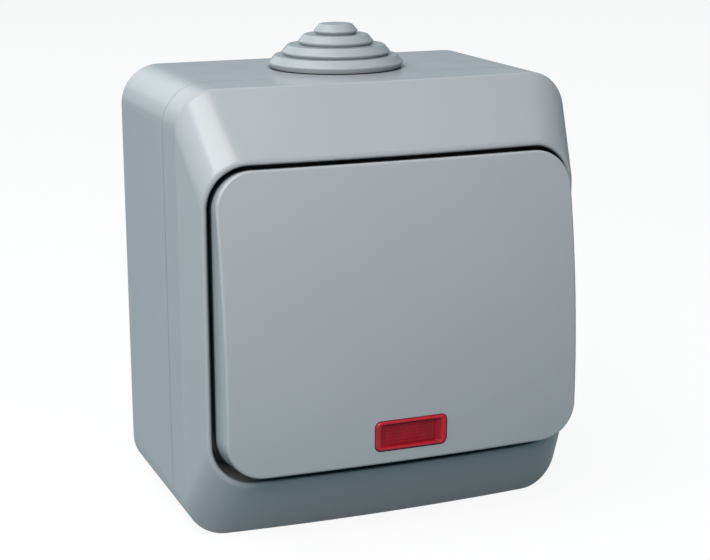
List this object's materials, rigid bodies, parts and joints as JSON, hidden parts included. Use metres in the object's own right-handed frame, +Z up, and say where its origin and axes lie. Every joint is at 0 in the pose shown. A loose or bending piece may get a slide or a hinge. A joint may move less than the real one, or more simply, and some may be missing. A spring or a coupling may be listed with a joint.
{
  "type": "outdoor weatherproof switch",
  "caption": "Surface-mounted splash-proof rocker switch: deep rounded box, sloped front frame, crowned rocker with red indicator lens and stepped cable gland on top.",
  "frame": {"origin": "centre of the flat back face that lies on the wall, at half the box's height", "axes": "+X to the right seen from the front, +Y into the wall, +Z up; the rocker faces -Y"},
  "size_m": [0.072, 0.0527, 0.0863],
  "materials": {
    "grey_plastic": "semi-gloss moulded",
    "gland_rubber": "soft satin",
    "lens_red": "translucent gloss",
    "seal_rubber": "matte",
    "insulator": "moulded",
    "plunger_plastic": "smooth",
    "steel": "zinc plated",
    "brass": "stamped",
    "contact_silver": "satin",
    "lamp_glass": "clear",
    "resistor_body": "lacquered",
    "lead_metal": "tinned"
  },
  "bodies": {
    "housing": {"rear_box": "grey_plastic", "front_cover": "grey_plastic", "cable_gland": "gland_rubber", "cover_gasket": "seal_rubber", "rocker_membrane": "seal_rubber", "cover_screws": "steel", "mechanism_screws": "steel", "terminal_screws": "steel", "mechanism_plate": "insulator", "mechanism_base": "insulator", "lamp_carrier": "insulator", "common_terminal": "brass", "fixed_terminal": "brass", "terminal_clamps": "brass", "fixed_rivet": "contact_silver", "neon_lamp": "lamp_glass", "lamp_resistor": "resistor_body", "lamp_leads": "lead_metal"},
    "rocker": {"rocker_cap": "grey_plastic", "indicator_lens": "lens_red", "rocker_driver": "insulator", "plunger_spring": "steel"},
    "plunger": {"plunger": "plunger_plastic"},
    "contact": {"contact_blade": "brass", "moving_rivet": "contact_silver"}
  },
  "joints": [
    {"name": "rocker_pivot", "type": "hinge", "parent": "housing", "child": "rocker", "pos_m": [0, -0.037, 0], "axis": [1, 0, 0], "range_deg": [0, 10.2]},
    {"name": "contact_tilt", "type": "hinge", "parent": "housing", "child": "contact", "pos_m": [0, -0.018, 0], "axis": [1, 0, 0], "range_deg": [-12, 0]},
    {"name": "plunger_slide", "type": "slide", "parent": "rocker", "child": "plunger", "axis": [0, -0.996, 0.0889], "range_m": [0, 0.0012], "stiffness_N_per_m": 900, "springref_m": -0.002, "deforming": ["plunger_spring"]}
  ],
  "couplings": [
    {"joint": "contact_tilt", "follows": "rocker_pivot", "ratio": -1.1765}
  ]
}
